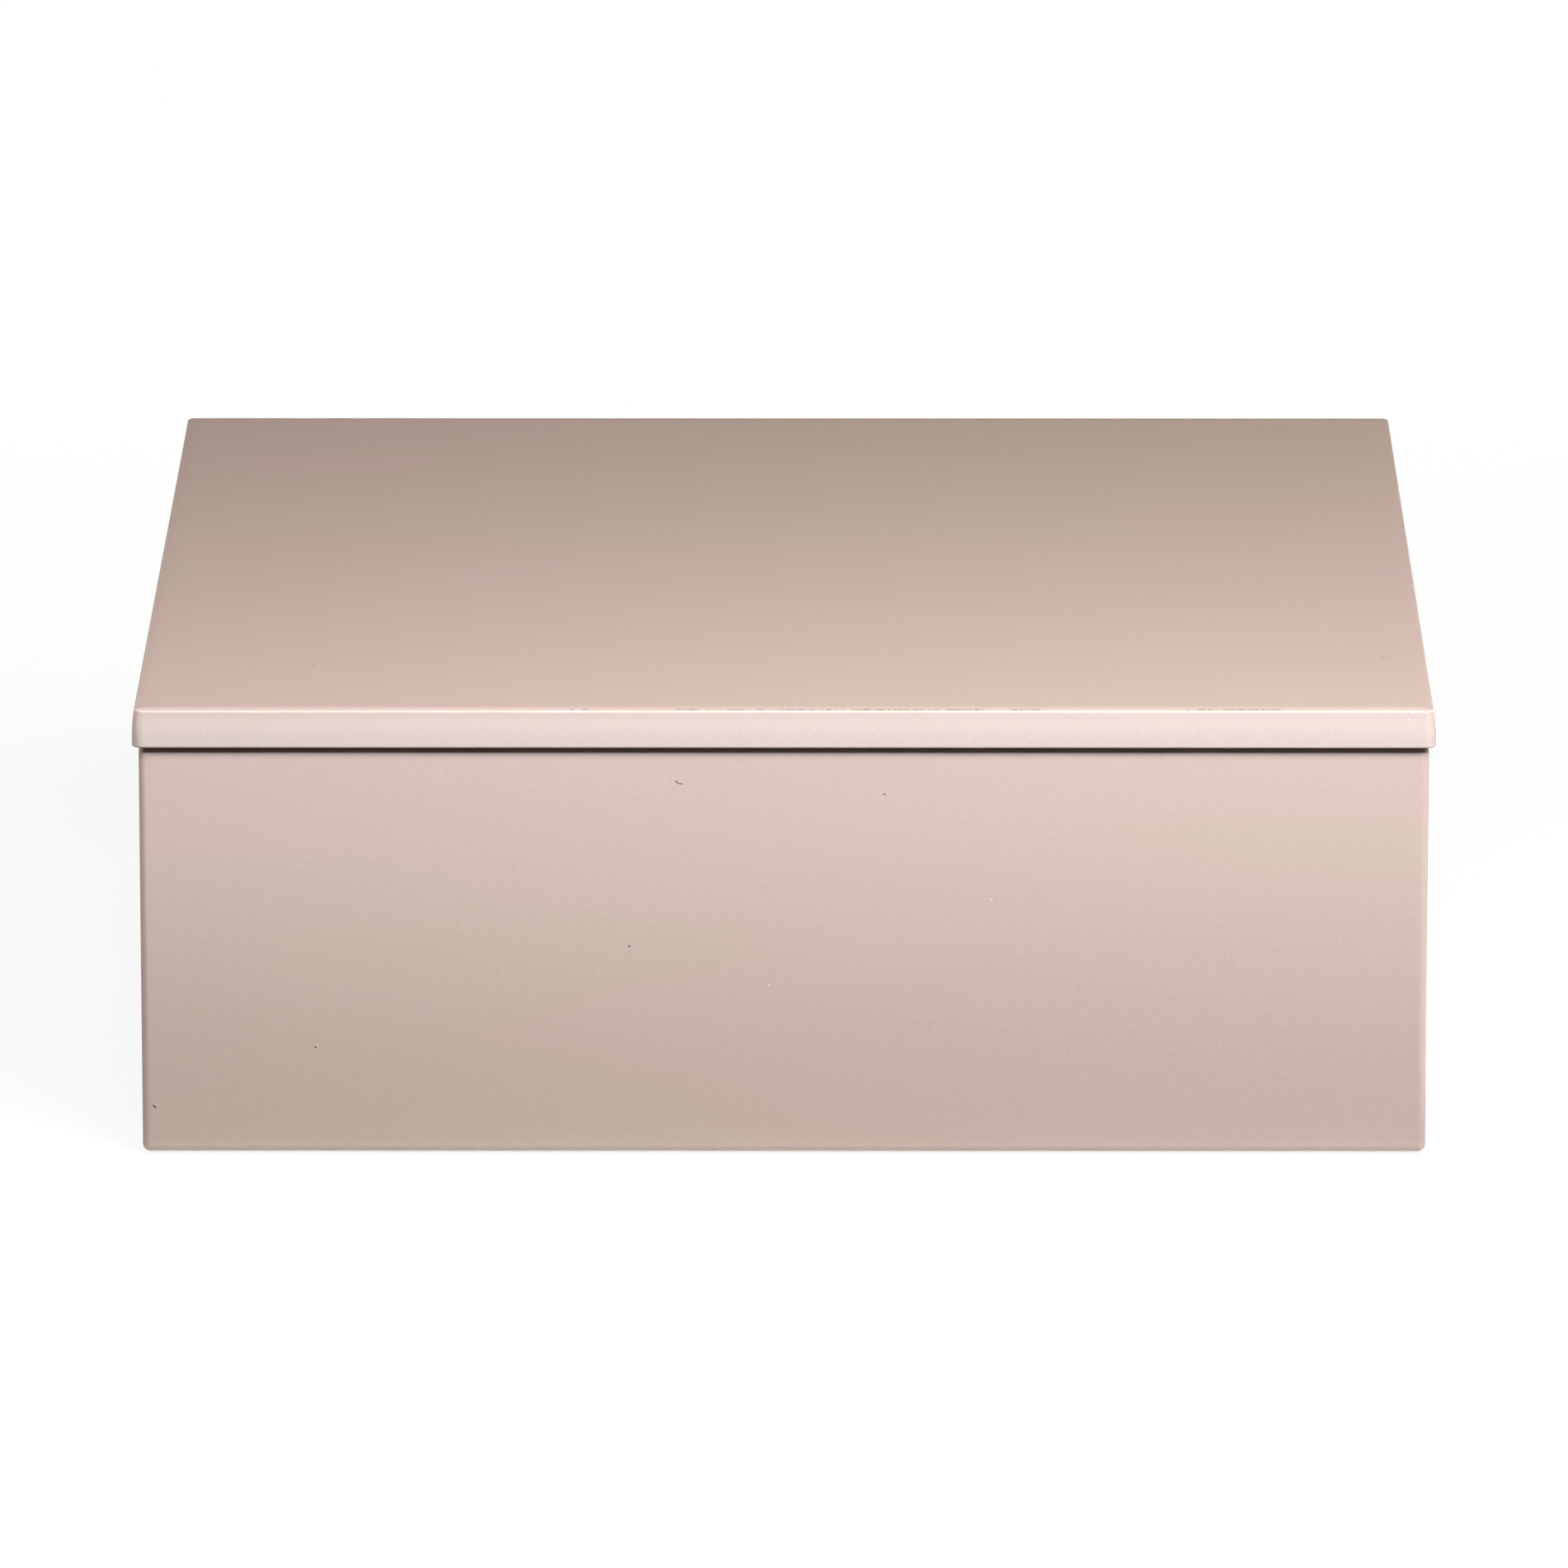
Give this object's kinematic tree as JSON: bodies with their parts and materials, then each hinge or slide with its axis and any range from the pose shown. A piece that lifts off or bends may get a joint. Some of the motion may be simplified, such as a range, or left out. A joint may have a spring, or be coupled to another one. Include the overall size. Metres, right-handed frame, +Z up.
{
  "type": "lacquered storage box",
  "caption": "Low square lacquered storage box with mitred walls, a let-in bottom panel and a flat lift-off lid kept in place by a frame of battens.",
  "frame": {"origin": "centre of the felt's lower face, on the surface that the box stands on", "axes": "+Z up, the way the lid lifts; the face that the picture shows looks towards -Y, and +X is to its right"},
  "size_m": [0.2004, 0.2004, 0.0711],
  "materials": {
    "lacquer": "dusty pink high-gloss lacquer over fibreboard",
    "bare_board": "unfinished wood",
    "felt": "dark brown pressed felt"
  },
  "bodies": {
    "case": {"front_wall": "lacquer", "back_wall": "lacquer", "left_wall": "lacquer", "right_wall": "lacquer", "corner_key_front_left": "bare_board", "corner_key_front_right": "bare_board", "corner_key_back_left": "bare_board", "corner_key_back_right": "bare_board", "bottom_panel": "lacquer", "base_felt": "felt"},
    "lid": {"lid_board": "lacquer", "lid_batten_front": "lacquer", "lid_batten_back": "lacquer", "lid_batten_left": "lacquer", "lid_batten_right": "lacquer"}
  },
  "joints": [
    {"name": "lid_lift", "type": "slide", "parent": "case", "child": "lid", "axis": [0, 0, 1], "range_m": [0, 0.08]}
  ]
}
